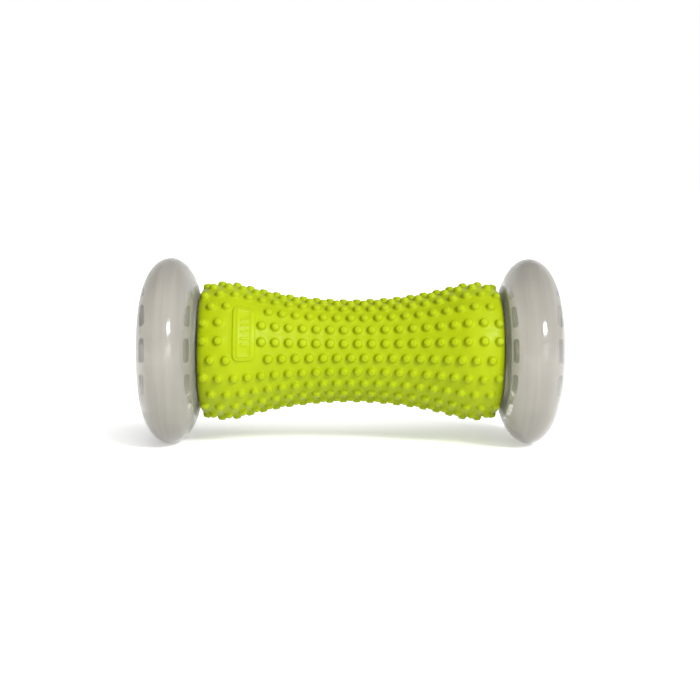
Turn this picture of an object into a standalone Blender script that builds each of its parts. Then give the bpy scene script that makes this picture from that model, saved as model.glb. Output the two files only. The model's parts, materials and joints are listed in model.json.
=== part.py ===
"""Foot massage roller: a studded rubber hourglass on a steel axle, between two skate-type wheels.

Metres, +Z up. The axle lies along X, the left wheel is at -X and the right wheel at +X. The roller stands on
its two tyres on z = 0, and the origin is on that floor, under the middle of the axle. The constants are in
millimetres, and vec() turns them into metres.
"""

import math

import bmesh
import bpy
from mathutils import Matrix, Vector, geometry

MM = 0.001
FIT_GAP = 0.3  # left between parts that rest on each other

# Wheels. Places across a wheel are measured outboard from its middle plane.
WHEEL_CENTRE = 69.1  # from the middle of the axle to a wheel's middle plane
TYRE_RADIUS = 36.0
TYRE_HALF_WIDTH = 11.2
FLANK_RADIUS = 18.0  # where the tyre's oval section would reach its full width
BEAD_RADIUS = 21.0
RIM_OUTER = 25.0
RIM_INNER = 23.0
RIM_HALF_WIDTH = 9.0
WINDOW_COUNT = 12  # along each edge of the rim
WINDOW_LENGTH = 8.8
WINDOW_WIDTH = 2.9
WINDOW_OFFSET = 6.2
WINDOW_TURN = math.radians(7.0)  # of the front window, from -Y towards +Z
BOSS_RADIUS = 14.0
BOSS_HALF_WIDTH = 10.4
SPOKE_COUNT = 6
SPOKE_THICKNESS = 2.4
SPOKE_HALF_WIDTH = 7.0
CAP_RADIUS = 13.6
CAP_FACE = 11.8
CAP_THICKNESS = 1.1
CAP_WALL = 1.4

# 608 ball bearings, 22 x 8 x 7 mm
BEARING_RADIUS = 11.0
BEARING_WIDTH = 7.0
OUTER_RACE_INSIDE = 9.3
INNER_RACE_OUTSIDE = 5.7
BALL_RADIUS = 1.98
BALL_PITCH_RADIUS = 7.5
BALL_COUNT = 7
CAGE_THICKNESS = 1.2
CAGE_WIDTH = 2.4
BEARING_PLACES = {"inner": -6.75, "outer": 2.75}

# Axle line
AXLE_RADIUS = 3.9
AXLE_END = 6.25  # outboard of the wheel's middle plane
SCREW_RADIUS = 2.5
SCREW_LENGTH = 10.0
SCREW_HEAD_RADIUS = 4.75
SCREW_HEAD_HEIGHT = 2.2
SOCKET_RADIUS = 1.7
SOCKET_DEPTH = 1.4
WASHER_RADIUS = 7.5
WASHER_THICKNESS = 1.0
COLLAR_RADIUS = 6.2

# Rubber sleeve: a long arc over the waist, a shorter one over each crest, a rounded corner at each end
WAIST_RADIUS = 18.4
WAIST_ARC = 150.0
CREST_RADIUS = 25.25
CREST_ARC = 24.0
CORNER_ARC = 2.5
CORNER_SLOPE = math.radians(18.0)  # where the crest's arc meets the corner
SLEEVE_THICKNESS = 3.0
LIP_RADIUS = 20.0
SLEEVE_SEGMENTS = 30
CORE_STATIONS = 4  # places along half the core at which its curve is worked out

# Massage studs
ROWS_PER_HALF = 11  # on each side of the sleeve's parting line
ROW_STEP = math.pi / ROWS_PER_HALF
STUD_PITCH = 5.21
END_PITCH = 5.75  # the last studs of a row stand further apart
EVEN_STUDS = 9  # evenly spaced along half a row
STUD_SIDES = 4
STUD_BASE_RADIUS = 1.9
STUD_TOP_RADIUS = 1.4
STUD_HEIGHT = 1.6
PARTING_ANGLE = math.radians(23.3)  # of the parting line, from -Y towards +Z
BADGE_CENTRE = -40.35  # a smooth patch with no studs, across the parting line
BADGE_HALF_LENGTH = 5.5
BADGE_HALF_ANGLE = math.radians(36.0)
BADGE_FILL_ANGLE = math.radians(19.0)

# Plastic core inside the sleeve
CORE_WALL = 2.5
CORE_HALF_LENGTH = 53.0
CORE_SPLIT_GAP = 0.15  # each half stands back this much from the plane between them
RIB_PLACES = (-38.0, -13.0, 13.0, 38.0)
RIB_THICKNESS = 2.4
PLUG_FACE = 57.0
PLUG_SPIGOT_RADIUS = 17.9
PLUG_SPIGOT_START = 46.0
PLUG_WALL = 2.0
PLUG_BOSS_RADIUS = 7.5

TYRE_SEGMENTS = 36
TYRE_ARC_STEPS = 8
RIM_SEGMENTS = 3 * WINDOW_COUNT
ROUND_SEGMENTS = 24
BEARING_SEGMENTS = 18
SCREW_SEGMENTS = 16
AXLE_HEIGHT = TYRE_RADIUS * math.cos(math.pi / TYRE_SEGMENTS)  # each tyre stands on one flat of its tread

LIME = (0.50, 0.66, 0.01)
SMOKE = (0.50, 0.48, 0.44)
NATURAL = (0.62, 0.60, 0.56)
LIME_PLASTIC = (0.36, 0.48, 0.01)
STEEL = (0.55, 0.55, 0.56)


def vec(x, y, z):
    """A point given in millimetres, in metres."""
    return Vector((x, y, z)) * MM


def material(name, colour, roughness, metallic=0.0):
    """A new Principled material."""
    made = bpy.data.materials.new(name)
    made.use_nodes = True
    shader = made.node_tree.nodes["Principled BSDF"]
    shader.inputs["Base Color"].default_value = (*colour, 1.0)
    shader.inputs["Roughness"].default_value = roughness
    shader.inputs["Metallic"].default_value = metallic
    return made


def add_object(name, bm, stuff, parent=None, smooth_angle=40.0):
    """Turns a bmesh into a named object, shaded smooth apart from its sharp edges."""
    bmesh.ops.recalc_face_normals(bm, faces=bm.faces)
    mesh = bpy.data.meshes.new(name)
    bm.to_mesh(mesh)
    bm.free()
    mesh.shade_smooth()
    mesh.set_sharp_from_angle(angle=math.radians(smooth_angle))
    mesh.materials.append(stuff)
    obj = bpy.data.objects.new(name, mesh)
    bpy.context.scene.collection.objects.link(obj)
    obj.parent = parent
    return obj


def add_axis(name, x, turn=0.0):
    """An empty on the axle line. At a wheel its local +X points outboard."""
    empty = bpy.data.objects.new(name, None)
    bpy.context.scene.collection.objects.link(empty)
    empty.location = vec(x, 0, 0) + Vector((0, 0, AXLE_HEIGHT * MM))
    empty.rotation_euler = (0, 0, turn)
    return empty


def turned(outline, segments=ROUND_SEGMENTS, sweep=math.tau, start=0.0):
    """Turns a closed outline of (place along the axle, radius) points about the X axis."""
    bm = bmesh.new()
    spin = Matrix.Rotation(start, 3, "X")
    ring = [bm.verts.new(spin @ vec(x, r, 0)) for x, r in outline]
    face = bm.faces.new(ring)
    geom = [face, *face.edges, *face.verts]
    full = sweep == math.tau
    if full:
        geom.remove(face)
        bm.faces.remove(face)
        for i, vert in enumerate(ring):
            if ring[i - 1].co.yz.length + vert.co.yz.length < 1e-6:
                axis_edge = bm.edges.get((ring[i - 1], vert))
                geom.remove(axis_edge)
                bm.edges.remove(axis_edge)
    bmesh.ops.spin(bm, geom=geom, cent=(0, 0, 0), axis=(1, 0, 0), angle=sweep, steps=segments, use_merge=full)
    bmesh.ops.remove_doubles(bm, verts=bm.verts, dist=1e-7)
    bmesh.ops.dissolve_degenerate(bm, edges=bm.edges, dist=1e-7)
    return bm


def ring_outline(low, high, inside, outside):
    """The outline of a plain ring."""
    return [(low, outside), (high, outside), (high, inside), (low, inside)]


def block(size, place, turn):
    """A block of the given size at the given place, which is then turned about the X axis."""
    bm = bmesh.new()
    placed = Matrix.Rotation(turn, 4, "X") @ Matrix.Translation(vec(*place))
    bmesh.ops.create_cube(bm, size=1.0, matrix=placed @ Matrix.Diagonal((*vec(*size), 1)))
    return bm


def joined(pieces):
    """Several bmeshes as the separate bodies of one, for a Boolean to read."""
    whole = bmesh.new()
    for piece in pieces:
        scratch = bpy.data.meshes.new("scratch")
        piece.to_mesh(scratch)
        piece.free()
        whole.from_mesh(scratch)
        bpy.data.meshes.remove(scratch)
    return whole


def add_boolean(target, operation, pieces):
    """Unites the target with these bmeshes, or cuts them from it, by way of a hidden helper object."""
    label = f"{target.name}_{operation.lower()}"
    helper = add_object(label, joined(pieces), target.data.materials[0], target.parent)
    helper.hide_render = True
    helper.display_type = "WIRE"
    modifier = target.modifiers.new(label, "BOOLEAN")
    modifier.operation = operation
    modifier.solver = "EXACT"
    modifier.object = helper
    modifier.use_self = operation == "UNION"


# The sleeve's outline


def crest_centre():
    """The centre of the crest's arc, placed so that the arc runs smoothly out of the waist's."""
    r = CREST_RADIUS - CREST_ARC
    x = math.sqrt((WAIST_ARC + CREST_ARC) ** 2 - (WAIST_RADIUS + WAIST_ARC - r) ** 2)
    return x, r


def arc_ends():
    """The slope where waist and crest meet, and how far along the outline each of its three arcs ends."""
    join_slope = math.asin(crest_centre()[0] / (WAIST_ARC + CREST_ARC))
    waist = WAIST_ARC * join_slope
    crest = waist + CREST_ARC * (join_slope + CORNER_SLOPE)
    return join_slope, waist, crest, crest + CORNER_ARC * (math.pi / 2 - CORNER_SLOPE)


def outline_point(s, depth=0.0):
    """(x, radius, slope) at the distance s along the bare outline from the waist, or depth below it."""
    join_slope, waist_end, crest_end, _ = arc_ends()
    along = abs(s)
    if along <= waist_end:
        slope = along / WAIST_ARC
        x = WAIST_ARC * math.sin(slope)
        r = WAIST_RADIUS + WAIST_ARC * (1 - math.cos(slope))
    else:
        x, r = crest_centre()
        slope = join_slope - (along - waist_end) / CREST_ARC
        arc = CREST_ARC
        if along > crest_end:
            x += (CREST_ARC - CORNER_ARC) * math.sin(CORNER_SLOPE)
            r += (CREST_ARC - CORNER_ARC) * math.cos(CORNER_SLOPE)
            slope = -CORNER_SLOPE - (along - crest_end) / CORNER_ARC
            arc = CORNER_ARC
        x -= arc * math.sin(slope)
        r += arc * math.cos(slope)
    x += depth * math.sin(slope)
    r -= depth * math.cos(slope)
    return (x, r, slope) if s >= 0 else (-x, r, -slope)


def radius_below(x, depth):
    """The radius of the surface that lies this depth below the outline, at a place along the axle."""
    low, high = 0.0, arc_ends()[2]
    for _ in range(40):
        middle = (low + high) / 2
        if outline_point(middle, depth)[0] < abs(x):
            low = middle
        else:
            high = middle
    return outline_point(low, depth)[1]


def on_sleeve(angle, s, height=0.0):
    """A point on the bare outline, or height above it. The angle runs from -Y towards +Z."""
    x, r, _ = outline_point(s, -height)
    return vec(x, -r * math.cos(angle), r * math.sin(angle))


# The sleeve


def stud_places():
    """(angle from the parting line, distance along the outline) of each stud.

    The rows mirror each other about the parting line, and every other row is shifted by half a pitch.
    """
    straight = [(i + 0.5) * STUD_PITCH for i in range(EVEN_STUDS)]
    straight += [straight[-1] + i * END_PITCH for i in (1, 2)]
    shifted = [i * STUD_PITCH for i in range(EVEN_STUDS)]
    shifted += [straight[-1] - (i + 0.5) * END_PITCH for i in (1, 0)]
    places = []
    for row in range(ROWS_PER_HALF):
        columns = shifted if row % 2 else straight
        columns = sorted({way * s for s in columns for way in (-1, 1)})
        angle = (row + 0.5) * ROW_STEP
        places += [(angle, s) for s in columns if not on_badge(angle, s)]
        places += [(math.tau - angle, s) for s in columns if not on_badge(angle, s)]
    return places


def on_badge(angle, s):
    return angle < BADGE_HALF_ANGLE and abs(s - BADGE_CENTRE) < BADGE_HALF_LENGTH


def plain_points(end):
    """(angle, distance) points of the sleeve's skin apart from its studs: parting line, ends and badge."""
    steps = round(2 * end / STUD_PITCH)
    parting = [-end + 2 * end * i / steps for i in range(steps + 1)]
    points = [(angle, s) for angle in (0.0, math.tau) for s in parting]
    points += [(math.tau * i / SLEEVE_SEGMENTS, s) for i in range(1, SLEEVE_SEGMENTS) for s in (-end, end)]
    badge = [BADGE_CENTRE + i * BADGE_HALF_LENGTH / 2 for i in (-1, 1)]
    points += [(angle, s) for angle in (BADGE_FILL_ANGLE, math.tau - BADGE_FILL_ANGLE) for s in badge]
    return points


def studded_skin(end):
    """The sleeve's outside, up to this distance along its outline at both ends.

    It is laid out flat from one side of the parting line to the other, and meshed around the studs.
    """
    bm = bmesh.new()
    flat = [Vector((angle * CREST_RADIUS, s)) for angle, s in plain_points(end)]
    plain_count = len(flat)
    edges = []
    places = stud_places()
    for angle, s in places:
        first = len(flat)
        squeeze = CREST_RADIUS / outline_point(s)[1]
        for i in range(STUD_SIDES):
            turn = math.tau * i / STUD_SIDES
            corner = Vector((math.sin(turn) * squeeze, math.cos(turn))) * STUD_BASE_RADIUS
            flat.append(Vector((angle * CREST_RADIUS, s)) + corner)
            edges.append((first + i, first + (i + 1) % STUD_SIDES))
    points, _, faces, sources, _, _ = geometry.delaunay_2d_cdt(flat, edges, [], 0, 1e-6, True)
    verts = [bm.verts.new(on_sleeve(PARTING_ANGLE + p.x / CREST_RADIUS, p.y)) for p in points]
    stud_of = [(source[0] - plain_count) // STUD_SIDES for source in sources]
    for face in faces:
        studs = {stud_of[i] for i in face}
        if len(studs) > 1 or min(studs) < 0:
            bm.faces.new([verts[i] for i in face])
    rings = {}
    for vert, stud, source in zip(verts, stud_of, sources):
        if stud >= 0:
            rings.setdefault(stud, []).append((source[0], vert))
    for stud, ring in rings.items():
        angle, s = places[stud]
        ring.sort(key=lambda item: item[0])
        raise_stud(bm, PARTING_ANGLE + angle, s, [vert for _, vert in ring])
    bmesh.ops.remove_doubles(bm, verts=bm.verts, dist=1e-7)
    return bm


def raise_stud(bm, angle, s, base):
    """Builds one stud up from its outline on the skin to a smaller flat top."""
    foot = on_sleeve(angle, s)
    top = on_sleeve(angle, s, STUD_HEIGHT)
    up = (top - foot).normalized()
    crown = []
    for vert in base:
        outward = vert.co - foot
        outward -= up * outward.dot(up)
        crown.append(bm.verts.new(top + outward.normalized() * STUD_TOP_RADIUS * MM))
    for i, vert in enumerate(base):
        j = (i + 1) % len(base)
        bm.faces.new((vert, base[j], crown[j], crown[i]))
    bm.faces.new(crown)


def open_ends(bm):
    """The loose edges at the left and at the right end of a tube."""
    loose = [edge for edge in bm.edges if edge.is_boundary]
    return [[edge for edge in loose if edge.verts[0].co.x * way > 0] for way in (-1, 1)]


def grow_ring(bm, edges, x, r):
    """Extrudes a round opening to a new ring at this place and radius, and returns the ring's edges."""
    made = bmesh.ops.extrude_edge_only(bm, edges=edges)["geom"]
    verts = {item for item in made if isinstance(item, bmesh.types.BMVert)}
    for vert in verts:
        spoke = Vector((0, vert.co.y, vert.co.z)).normalized()
        vert.co = spoke * r * MM + Vector((x * MM, 0, 0))
    return [item for item in made if isinstance(item, bmesh.types.BMEdge) and verts.issuperset(item.verts)]


def make_sleeve(axis, stuff):
    """The studded sleeve. Its ends turn in over the core as lips, and its inside follows the core."""
    end = arc_ends()[3]
    end_x = outline_point(end)[0]
    bm = studded_skin(end)
    rings = [(end_x, LIP_RADIUS), (CORE_HALF_LENGTH + FIT_GAP, LIP_RADIUS)]
    rings.append((CORE_HALF_LENGTH + FIT_GAP, radius_below(CORE_HALF_LENGTH, SLEEVE_THICKNESS)))
    rings += [(x, radius_below(x, SLEEVE_THICKNESS)) for x in core_stations()[:0:-1]]
    last = []
    for way, edges in zip((-1, 1), open_ends(bm)):
        for x, r in rings:
            edges = grow_ring(bm, edges, way * x, r)
        last += edges
    bmesh.ops.bridge_loops(bm, edges=last)
    bmesh.ops.triangulate(bm, faces=[face for face in bm.faces if len(face.verts) > 3])
    return add_object("massage_sleeve", bm, stuff, axis)


# The core, its plugs and the axle


def core_stations():
    """Places along half the core, from its middle, at which its outside and the sleeve's inside bend."""
    return [CORE_HALF_LENGTH * i / CORE_STATIONS for i in range(CORE_STATIONS + 1)]


def make_core_half(name, axis, stuff, way):
    """Half of the core: a curved shell with ribs that hold the axle. way is 1 for the upper half."""
    depth = SLEEVE_THICKNESS + FIT_GAP + CORE_SPLIT_GAP
    half = core_stations()
    places = [-x for x in half[:0:-1]] + half
    outline = [(x, radius_below(x, depth)) for x in places]
    bore = AXLE_RADIUS + FIT_GAP + CORE_SPLIT_GAP
    inside = [(CORE_HALF_LENGTH, radius_below(CORE_HALF_LENGTH, depth + CORE_WALL))]
    for rib in sorted(RIB_PLACES, reverse=True):
        for x in (rib + RIB_THICKNESS / 2, rib - RIB_THICKNESS / 2):
            wall = (x, radius_below(x, depth + CORE_WALL))
            inside += [wall, (x, bore)] if x > rib else [(x, bore), wall]
    inside.append((-CORE_HALF_LENGTH, radius_below(CORE_HALF_LENGTH, depth + CORE_WALL)))
    start = 0.0 if way > 0 else math.pi
    bm = turned(outline + inside, segments=ROUND_SEGMENTS // 2, sweep=math.pi, start=start)
    bmesh.ops.translate(bm, verts=bm.verts, vec=vec(0, 0, way * CORE_SPLIT_GAP))
    return add_object(name, bm, stuff, axis)


def make_end_plug(name, axis, stuff):
    """Closes one end of the core and carries the axle. It is a cup with a boss, open towards the core."""
    bore = AXLE_RADIUS + FIT_GAP
    shoulder = CORE_HALF_LENGTH + FIT_GAP
    floor = PLUG_FACE - 2 * PLUG_WALL
    outline = [
        (PLUG_SPIGOT_START, PLUG_SPIGOT_RADIUS),
        (shoulder, PLUG_SPIGOT_RADIUS),
        (shoulder, LIP_RADIUS - FIT_GAP),
        (PLUG_FACE, LIP_RADIUS - FIT_GAP),
        (PLUG_FACE, bore),
        (PLUG_SPIGOT_START, bore),
        (PLUG_SPIGOT_START, PLUG_BOSS_RADIUS),
        (floor, PLUG_BOSS_RADIUS),
        (floor, PLUG_SPIGOT_RADIUS - PLUG_WALL),
        (PLUG_SPIGOT_START, PLUG_SPIGOT_RADIUS - PLUG_WALL),
    ]
    return add_object(name, turned(outline), stuff, axis)


def make_axle(axis, stuff):
    """A steel rod with a tapped hole in each end."""
    half = WHEEL_CENTRE + AXLE_END
    hole = SCREW_RADIUS + FIT_GAP
    bottom = half - SCREW_LENGTH - 1
    outline = [
        (-half, AXLE_RADIUS),
        (half, AXLE_RADIUS),
        (half, hole),
        (bottom, hole),
        (bottom - hole / 2, 0),
        (hole / 2 - bottom, 0),
        (-bottom, hole),
        (-half, hole),
    ]
    return add_object("axle", turned(outline), stuff, axis)


# What is on each end of the axle. Places are outboard of the wheel's middle plane.


def make_collar(name, axis, stuff):
    """Holds the inner bearing clear of the end plug."""
    low = PLUG_FACE - WHEEL_CENTRE + FIT_GAP
    high = BEARING_PLACES["inner"] - BEARING_WIDTH / 2 - FIT_GAP
    outline = ring_outline(low, high, AXLE_RADIUS + FIT_GAP, COLLAR_RADIUS)
    return add_object(name, turned(outline, BEARING_SEGMENTS), stuff, axis)


def make_bearing_spacer(name, axis, stuff):
    """Keeps the two inner races apart."""
    low = BEARING_PLACES["inner"] + BEARING_WIDTH / 2 + FIT_GAP
    high = BEARING_PLACES["outer"] - BEARING_WIDTH / 2 - FIT_GAP
    outline = ring_outline(low, high, AXLE_RADIUS + FIT_GAP, INNER_RACE_OUTSIDE)
    return add_object(name, turned(outline, BEARING_SEGMENTS), stuff, axis)


def race_groove(centre, way):
    """The arc of a ball groove: way is 1 in the outer race and -1 in the inner race."""
    arc = BALL_RADIUS + FIT_GAP
    land = OUTER_RACE_INSIDE if way > 0 else INNER_RACE_OUTSIDE
    reach = math.acos(abs(land - BALL_PITCH_RADIUS) / arc)
    turns = [-reach, 0.0, reach]
    return [(centre + arc * math.sin(t), BALL_PITCH_RADIUS + way * arc * math.cos(t)) for t in turns]


def make_race(name, axis, stuff, centre, way):
    """A bearing's outer race, way 1, or inner race, way -1, with its ball groove."""
    low, high = centre - BEARING_WIDTH / 2, centre + BEARING_WIDTH / 2
    back = BEARING_RADIUS if way > 0 else AXLE_RADIUS + FIT_GAP
    land = OUTER_RACE_INSIDE if way > 0 else INNER_RACE_OUTSIDE
    outline = [(high, back), (low, back), (low, land), *race_groove(centre, way), (high, land)]
    return add_object(name, turned(outline, BEARING_SEGMENTS), stuff, axis)


def make_ball_cage(name, axis, stuff, centre):
    """The cage of a bearing with its balls. They go round together, so they are one piece here."""
    inside = BALL_PITCH_RADIUS - CAGE_THICKNESS / 2
    outline = ring_outline(centre - CAGE_WIDTH / 2, centre + CAGE_WIDTH / 2, inside, inside + CAGE_THICKNESS)
    cage = add_object(name, turned(outline, 2 * BALL_COUNT), stuff, axis)
    balls = []
    for i in range(BALL_COUNT):
        turn = math.tau * (i + 0.5) / BALL_COUNT
        place = vec(centre, BALL_PITCH_RADIUS * math.cos(turn), BALL_PITCH_RADIUS * math.sin(turn))
        ball = bmesh.new()
        matrix = Matrix.Translation(place) @ Matrix.Rotation(turn, 4, "X")
        bmesh.ops.create_icosphere(ball, subdivisions=1, radius=BALL_RADIUS * MM, matrix=matrix)
        balls.append(ball)
    add_boolean(cage, "UNION", balls)
    return cage


def make_washer(name, axis, stuff):
    low = AXLE_END + FIT_GAP
    outline = ring_outline(low, low + WASHER_THICKNESS, SCREW_RADIUS + FIT_GAP, WASHER_RADIUS)
    return add_object(name, turned(outline), stuff, axis)


def make_axle_screw(name, axis, stuff):
    """A button-head screw with a hexagon socket, which clamps the washer and the inner races."""
    seat = AXLE_END + WASHER_THICKNESS + 2 * FIT_GAP
    face = seat + SCREW_HEAD_HEIGHT
    outline = [
        (seat - SCREW_LENGTH, 0),
        (seat - SCREW_LENGTH, SCREW_RADIUS - 0.5),
        (seat - SCREW_LENGTH + 0.5, SCREW_RADIUS),
        (seat, SCREW_RADIUS),
        (seat, SCREW_HEAD_RADIUS),
        (seat + 0.3 * SCREW_HEAD_HEIGHT, SCREW_HEAD_RADIUS),
        (seat + 0.8 * SCREW_HEAD_HEIGHT, 0.8 * SCREW_HEAD_RADIUS),
        (face, 0.5 * SCREW_HEAD_RADIUS),
        (face, 0),
    ]
    screw = add_object(name, turned(outline, SCREW_SEGMENTS), stuff, axis)
    bottom = face - SOCKET_DEPTH
    socket = [(bottom, 0), (bottom, SOCKET_RADIUS), (face + 1, SOCKET_RADIUS), (face + 1, 0)]
    add_boolean(screw, "DIFFERENCE", [turned(socket, 6)])
    return screw


# Wheels


def make_tyre(name, axis, stuff):
    """The urethane tyre: an oval section, hooked over both edges of the hub's rim."""
    height = TYRE_RADIUS - FLANK_RADIUS
    bead_turn = math.asin((BEAD_RADIUS - FLANK_RADIUS) / height)
    outline = []
    for i in range(TYRE_ARC_STEPS + 1):
        turn = bead_turn + (math.pi - 2 * bead_turn) * i / TYRE_ARC_STEPS
        outline.append((-TYRE_HALF_WIDTH * math.cos(turn), FLANK_RADIUS + height * math.sin(turn)))
    groove = RIM_HALF_WIDTH + FIT_GAP
    seat = RIM_OUTER + FIT_GAP
    outline += [(groove, BEAD_RADIUS), (groove, seat), (-groove, seat), (-groove, BEAD_RADIUS)]
    flat_down = -math.pi / 2 + math.pi / TYRE_SEGMENTS
    return add_object(name, turned(outline, TYRE_SEGMENTS, start=flat_down), stuff, axis)


def make_hub(name, axis, stuff, first_turn):
    """The nylon hub: a boss for the bearings, spokes, and a rim with a row of windows near each edge."""
    seat = BEARING_RADIUS + FIT_GAP
    stop_low = BEARING_PLACES["inner"] + BEARING_WIDTH / 2 + FIT_GAP
    stop_high = BEARING_PLACES["outer"] - BEARING_WIDTH / 2 - FIT_GAP
    boss = [
        (-BOSS_HALF_WIDTH, BOSS_RADIUS),
        (BOSS_HALF_WIDTH, BOSS_RADIUS),
        (BOSS_HALF_WIDTH, seat),
        (stop_high, seat),
        (stop_high, OUTER_RACE_INSIDE),
        (stop_low, OUTER_RACE_INSIDE),
        (stop_low, seat),
        (-BOSS_HALF_WIDTH, seat),
    ]
    rim = turned(ring_outline(-RIM_HALF_WIDTH, RIM_HALF_WIDTH, RIM_INNER, RIM_OUTER), RIM_SEGMENTS)
    hub = add_object(name, turned(boss), stuff, axis)
    low, high = BOSS_RADIUS - 0.8, RIM_INNER + 0.8
    spokes = []
    for i in range(SPOKE_COUNT):
        turn = first_turn + math.tau * (i / SPOKE_COUNT + 0.5 / WINDOW_COUNT)
        size = (2 * SPOKE_HALF_WIDTH, high - low, SPOKE_THICKNESS)
        spokes.append(block(size, (0, (low + high) / 2, 0), turn))
    add_boolean(hub, "UNION", [rim, *spokes])
    windows = []
    for i in range(WINDOW_COUNT):
        turn = first_turn + math.tau * i / WINDOW_COUNT
        for way in (-1, 1):
            size = (WINDOW_WIDTH, RIM_OUTER - RIM_INNER + 1.2, WINDOW_LENGTH)
            windows.append(block(size, (way * WINDOW_OFFSET, (RIM_OUTER + RIM_INNER) / 2, 0), turn))
    add_boolean(hub, "DIFFERENCE", windows)
    return hub


def make_hub_cap(name, axis, stuff):
    """A round cap whose skirt presses into the boss, over the screw."""
    under = CAP_FACE - CAP_THICKNESS
    skirt_end = BEARING_PLACES["outer"] + BEARING_WIDTH / 2 + FIT_GAP
    edge = 0.4
    outline = [
        (CAP_FACE, 0),
        (CAP_FACE, CAP_RADIUS - edge),
        (CAP_FACE - edge, CAP_RADIUS),
        (under, CAP_RADIUS),
        (under, BEARING_RADIUS),
        (skirt_end, BEARING_RADIUS),
        (skirt_end, BEARING_RADIUS - CAP_WALL),
        (under, BEARING_RADIUS - CAP_WALL),
        (under, 0),
    ]
    return add_object(name, turned(outline), stuff, axis)


def make_end(side, turn, stuffs):
    """Everything on one end of the axle, on an axis whose local +X points outboard."""
    way = -1 if side == "left" else 1
    plug_axis = add_axis(f"{side}_core_axis", 0, turn)
    wheel_axis = add_axis(f"{side}_wheel_axis", way * WHEEL_CENTRE, turn)
    make_end_plug(f"{side}_end_plug", plug_axis, stuffs["abs"])
    make_collar(f"{side}_axle_collar", wheel_axis, stuffs["steel"])
    make_bearing_spacer(f"{side}_bearing_spacer", wheel_axis, stuffs["steel"])
    for place, centre in BEARING_PLACES.items():
        bearing = f"{side}_{place}_bearing"
        make_race(f"{bearing}_outer_race", wheel_axis, stuffs["steel"], centre, 1)
        make_race(f"{bearing}_inner_race", wheel_axis, stuffs["steel"], centre, -1)
        make_ball_cage(f"{bearing}_ball_cage", wheel_axis, stuffs["steel"], centre)
    make_washer(f"{side}_axle_washer", wheel_axis, stuffs["steel"])
    make_axle_screw(f"{side}_axle_screw", wheel_axis, stuffs["steel"])
    make_tyre(f"{side}_tyre", wheel_axis, stuffs["urethane"])
    make_hub(f"{side}_hub", wheel_axis, stuffs["nylon"], -way * WINDOW_TURN)
    make_hub_cap(f"{side}_hub_cap", wheel_axis, stuffs["cap"])


def main():
    for obj in list(bpy.data.objects):
        bpy.data.objects.remove(obj)
    stuffs = {
        "rubber": material("lime_rubber", LIME, 0.55),
        "urethane": material("smoke_urethane", SMOKE, 0.12),
        "nylon": material("natural_nylon", NATURAL, 0.4),
        "cap": material("cap_plastic", NATURAL, 0.3),
        "abs": material("lime_abs", LIME_PLASTIC, 0.5),
        "steel": material("bright_steel", STEEL, 0.3, 1.0),
    }
    axis = add_axis("roller_axis", 0)
    make_sleeve(axis, stuffs["rubber"])
    make_core_half("core_shell_upper", axis, stuffs["abs"], 1)
    make_core_half("core_shell_lower", axis, stuffs["abs"], -1)
    make_axle(axis, stuffs["steel"])
    make_end("left", math.pi, stuffs)
    make_end("right", 0.0, stuffs)


main()
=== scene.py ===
"""Looks of the foot massage roller: studded sleeve, translucent tyres, hubs, caps, materials and light.

Every piece is built in the frame's coordinates, around the axle line, which lies along X. The constants are
in millimetres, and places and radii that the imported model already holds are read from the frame.
"""

import json
import math

import bmesh
import bpy
from mathutils import Euler, Matrix, Vector, geometry, kdtree


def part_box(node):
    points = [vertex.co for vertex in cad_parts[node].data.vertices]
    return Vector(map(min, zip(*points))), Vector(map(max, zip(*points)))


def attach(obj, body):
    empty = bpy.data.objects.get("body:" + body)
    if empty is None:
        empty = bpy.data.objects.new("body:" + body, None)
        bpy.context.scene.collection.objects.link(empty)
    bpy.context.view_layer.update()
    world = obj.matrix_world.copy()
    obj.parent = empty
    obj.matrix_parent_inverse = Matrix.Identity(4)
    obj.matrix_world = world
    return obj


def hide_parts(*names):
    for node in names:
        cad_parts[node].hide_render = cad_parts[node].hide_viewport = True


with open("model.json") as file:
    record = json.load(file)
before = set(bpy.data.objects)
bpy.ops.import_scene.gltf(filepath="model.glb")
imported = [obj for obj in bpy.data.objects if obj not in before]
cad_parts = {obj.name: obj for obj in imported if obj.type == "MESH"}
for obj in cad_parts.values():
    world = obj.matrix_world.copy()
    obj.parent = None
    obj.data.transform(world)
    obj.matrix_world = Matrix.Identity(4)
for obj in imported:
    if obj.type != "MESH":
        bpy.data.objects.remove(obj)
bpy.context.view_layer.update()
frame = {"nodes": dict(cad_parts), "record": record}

MM = 0.001


def extent(node):
    """A CAD node's middle and half sizes, in metres."""
    low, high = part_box(node)
    return (low + high) / 2, (high - low) / 2


AXLE = extent("axle")[0]
SIDES = {"left": -1, "right": 1}
WHEEL_PLACE = {side: extent(f"{side}_tyre")[0].x / MM for side in SIDES}

# The sleeve's outline: a long arc over the waist, a shorter one over each crest, a rounded corner at each end
WAIST_RADIUS = 18.4
WAIST_ARC = 150.0
CREST_RADIUS = 25.25
CREST_ARC = 24.0
CORNER_ARC = 2.5
CORNER_SLOPE = math.radians(18.0)
SLEEVE_THICKNESS = 3.0
CLEARANCE = 0.3  # between pieces that touch
LIP_RADIUS = extent("left_end_plug")[1].y / MM + CLEARANCE
CORE_END = extent("core_shell_upper")[1].x / MM + CLEARANCE
END_SEGMENTS = 160

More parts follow.
